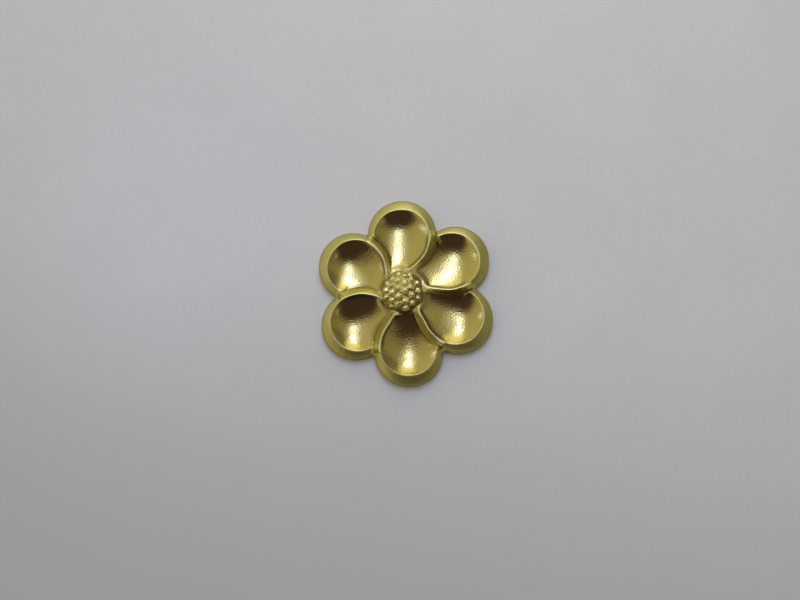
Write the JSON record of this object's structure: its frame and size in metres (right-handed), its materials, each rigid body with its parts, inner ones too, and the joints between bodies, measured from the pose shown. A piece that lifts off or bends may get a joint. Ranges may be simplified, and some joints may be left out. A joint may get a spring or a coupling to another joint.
{
  "type": "flower finding",
  "caption": "Struck brass blossom with cupped petals lapping in a pinwheel round a seeded dome, hollow at the back, to be glued, soldered or riveted on.",
  "frame": {"origin": "middle of the plane that the rim stands on", "axes": "+Z out of the flower's face, +Y along the first petal, from tip to opposite tip"},
  "size_m": [0.0274, 0.03, 0.0042],
  "materials": {
    "raw_brass": "raw brass, bright in the bowls and satin on the shoulders"
  },
  "bodies": {
    "root": {"flower_stamping": "raw_brass"}
  },
  "joints": []
}
